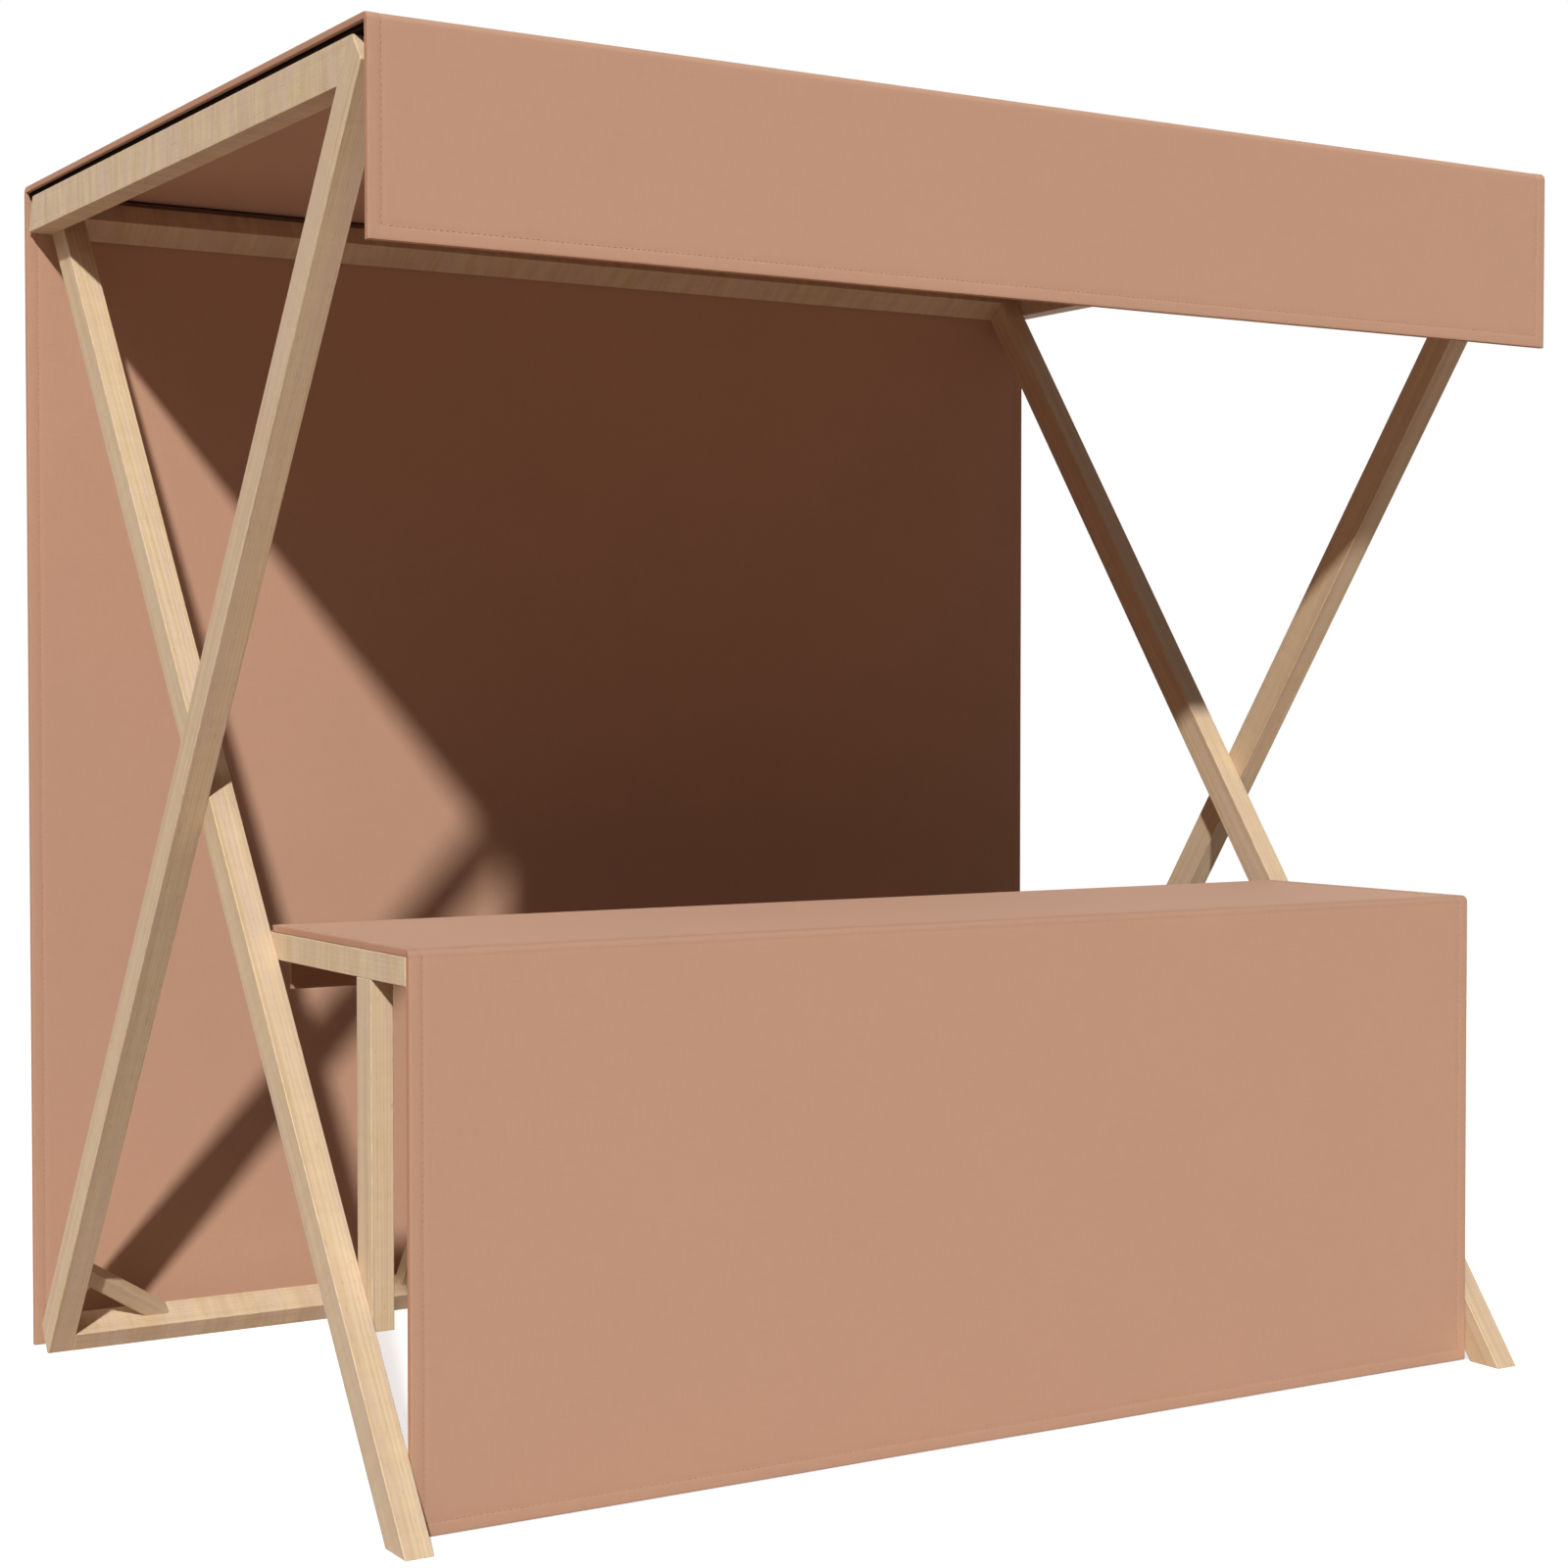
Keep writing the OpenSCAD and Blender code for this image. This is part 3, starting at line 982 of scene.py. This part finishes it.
# How far the floor runs on past its fade, and the share of the fade's reach where it starts.
FLOOR_SPREAD = 4
FADE_START = 1 / 3


class STALL_OT_stage(Operator):
    """Sets up the camera, the lamps, the surroundings and the floor"""

    bl_idname = "stall.stage"
    bl_label = "Set the stage"

    def execute(self, context):
        stage = context.scene.stall.stage
        scene = context.scene
        scene.view_settings.view_transform = "Standard"
        self.place_camera(scene, stage)
        self.hang_lamp(scene, "key_lamp", stage.key_travel, stage.key, stage.key_softness)
        self.hang_lamp(scene, "side_lamp", stage.side_travel, stage.side, stage.wide_softness)
        self.hang_lamp(scene, "back_lamp", stage.back_travel, stage.back, stage.wide_softness)
        self.light_all_round(scene, stage)
        self.lay_floor(scene, stage)
        return {"FINISHED"}

    def place_camera(self, scene, stage):
        """Stands the camera where the stall is seen from the left front at chest height."""
        data = bpy.data.cameras.new("camera")
        data.sensor_width = SENSOR_WIDTH
        data.lens = stage.lens
        camera = bpy.data.objects.new("camera", data)
        camera.location = stage.camera
        camera.rotation_euler = stage.camera_turn
        scene.collection.objects.link(camera)
        scene.camera = camera

    def hang_lamp(self, scene, name, travel, strength, softness):
        """Hangs a far lamp whose light travels one way, spread over an angle."""
        data = bpy.data.lights.new(name, "SUN")
        data.energy = strength
        data.angle = softness
        lamp = bpy.data.objects.new(name, data)
        lamp.rotation_euler = Vector(travel).to_track_quat("-Z", "Y").to_euler()
        scene.collection.objects.link(lamp)

    def shown_rays(self, tree):
        """1 for the rays that show the surroundings: straight, mirrored or let through."""
        rays = tree.nodes.new("ShaderNodeLightPath").outputs
        mirrored = calculate(tree, "MAXIMUM", rays["Is Camera Ray"], rays["Is Glossy Ray"])
        return calculate(tree, "MAXIMUM", mirrored, rays["Is Transmission Ray"])

    def light_all_round(self, scene, stage):
        """Even grey light from everywhere, which looks white."""
        scene.world = bpy.data.worlds.new("studio")
        scene.world.use_nodes = True
        tree = scene.world.node_tree
        tree.nodes.clear()
        light = add(tree, "Background", {"Color": (1, 1, 1, 1), "Strength": stage.fill})
        white = add(tree, "Background", {"Color": (1, 1, 1, 1), "Strength": 1.0})
        both = add(tree, "MixShader", {0: self.shown_rays(tree), 1: light, 2: white})
        output = tree.nodes.new("ShaderNodeOutputWorld")
        tree.links.new(both, output.inputs["Surface"])

    def lay_floor(self, scene, stage):
        """A pale floor that keeps shadows and fades to the white of the surroundings far out.

        The rays that light the stall meet a plain floor in the colour of its bounce instead.
        """
        reach = FLOOR_SPREAD * stage.floor_reach
        mesh = bpy.data.meshes.new("floor")
        corners = [(-reach, -reach, 0), (reach, -reach, 0), (reach, reach, 0), (-reach, reach, 0)]
        mesh.from_pydata(corners, [], [(0, 1, 2, 3)])
        material = bpy.data.materials.new("pale_floor")
        material.use_nodes = True
        tree = material.node_tree
        tree.nodes.clear()
        matt = add(tree, "BsdfDiffuse", {"Color": (*stage.floor_colour, 1)})
        glow = add(tree, "Emission", {"Color": (1, 1, 1, 1), "Strength": stage.floor_lift})
        shown = add(tree, "AddShader", {0: matt, 1: glow})
        place = add(tree, "TexCoord", output=3)
        distance = add(tree, "VectorMath", {0: place}, output=1, operation="LENGTH")
        far = remap(tree, distance, FADE_START * stage.floor_reach, stage.floor_reach)
        white = add(tree, "Emission", {"Color": (1, 1, 1, 1), "Strength": 1.0})
        faded = add(tree, "MixShader", {0: far, 1: shown, 2: white})
        plain = add(tree, "BsdfDiffuse", {"Color": (*stage.floor_bounce, 1)})
        whole = add(tree, "MixShader", {0: self.shown_rays(tree), 1: plain, 2: faded})
        output = tree.nodes.new("ShaderNodeOutputMaterial")
        tree.links.new(whole, output.inputs["Surface"])
        mesh.materials.append(material)
        floor = bpy.data.objects.new("floor", mesh)
        scene.collection.objects.link(floor)


class STALL_OT_timber(Operator):
    """Gives every timber member its own piece of pale wood, with eased edges, and paints the roof
    battens near-black as the shade in the gap under the roof cloth
    """

    bl_idname = "stall.timber"
    bl_label = "Finish the timber"

    def execute(self, context):
        timber = context.scene.stall.timber
        edge = arris_material(timber)
        planed = tuple(timber.colour), tuple(timber.rosy_colour), tuple(timber.late_colour)
        painted_shade = tuple(timber.batten_painted_shade)
        # The roof battens get painted shade: near-black, with no gloss, so that the gap under the roof
        # cloth looks dark.
        painted_shade_colours = painted_shade, painted_shade, shade(painted_shade, SHADE_PAINTED_LATE)
        for number, (name, figure) in enumerate(TIMBERS.items(), start=1):
            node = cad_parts[name]
            colours, gloss = (painted_shade_colours, SHADE_PAINTED_GLOSS) if name in SHADE_PAINTED else (planed, PLANED_GLOSS)
            wood = timber_material(f"timber_{name}", node, figure, number, colours, gloss, timber)
            node.data.materials.clear()
            node.data.materials.append(wood)
            node.data.materials.append(wood if name in SHADE_PAINTED else edge)
            ease_edges(node, timber)
        return {"FINISHED"}


class STALL_OT_canopy(Operator):
    """Makes the canopy: one cloth that is valance, roof and back sheet, with its stitching"""

    bl_idname = "stall.canopy"
    bl_label = "Hang the canopy"

    def execute(self, context):
        cover = context.scene.stall.cover
        shape = Cover("valance", "roof_cloth", "back_sheet")
        rise = canopy_rise(shape, cover)
        canvas = canvas_material("canopy_canvas", cover, shape)
        canopy = make_sheet("canopy", shape, cover, rise, canvas)
        stitches = make_stitches("canopy_stitches", shape, cover, rise, thread_material(cover))
        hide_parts("valance", "roof_cloth", "back_sheet")
        return {"FINISHED"}


class STALL_OT_counter_cover(Operator):
    """Makes the counter cover: one cloth from the ground over the counter, with its stitching"""

    bl_idname = "stall.counter_cover"
    bl_label = "Lay the counter cover"

    shoulder: FloatProperty(
        name="Shoulder", description="Length over which the cloth narrows to pass the side rails",
        default=6 * MM, min=2 * MM, max=200 * MM, unit="LENGTH",
    )

    def execute(self, context):
        cover = context.scene.stall.cover
        shape = Cover("counter_front_cloth", "counter_top_cloth", "counter_back_cloth", self.shoulder)
        rise = counter_rise(shape, cover)
        canvas = canvas_material("counter_canvas", cover, shape, painted_lit=True)
        cloth = make_sheet("counter_cover", shape, cover, rise, canvas)
        stitches = make_stitches("counter_cover_stitches", shape, cover, rise, thread_material(cover))
        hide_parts("counter_front_cloth", "counter_top_cloth", "counter_back_cloth")
        return {"FINISHED"}


class STALL_PT_panel(Panel):
    """Lists the steps that make the stall, and its settings"""

    bl_idname = "STALL_PT_panel"
    bl_label = "Market Stall"
    bl_space_type = "VIEW_3D"
    bl_region_type = "UI"
    bl_category = "Market Stall"

    def draw(self, context):
        for step in STEPS:
            self.layout.operator(step.bl_idname)
        for group in (context.scene.stall.cover, context.scene.stall.timber, context.scene.stall.stage):
            column = self.layout.box().column()
            for name in group.__annotations__:
                column.prop(group, name)


SETTINGS = (CoverSettings, TimberSettings, StageSettings, StallSettings)
STEPS = (STALL_OT_stage, STALL_OT_timber, STALL_OT_canopy, STALL_OT_counter_cover)


def register():
    for item in (*SETTINGS, *STEPS, STALL_PT_panel):
        bpy.utils.register_class(item)
    bpy.types.Scene.stall = PointerProperty(
        type=StallSettings, name="Market stall", description="Settings of the market stall",
    )


def unregister():
    del bpy.types.Scene.stall
    for item in reversed((*SETTINGS, *STEPS, STALL_PT_panel)):
        bpy.utils.unregister_class(item)


def main():
    """Makes the whole stall."""
    register()
    bpy.ops.stall.stage()
    bpy.ops.stall.timber()
    bpy.ops.stall.canopy()
    bpy.ops.stall.counter_cover()


if __name__ == "__main__":
    main()
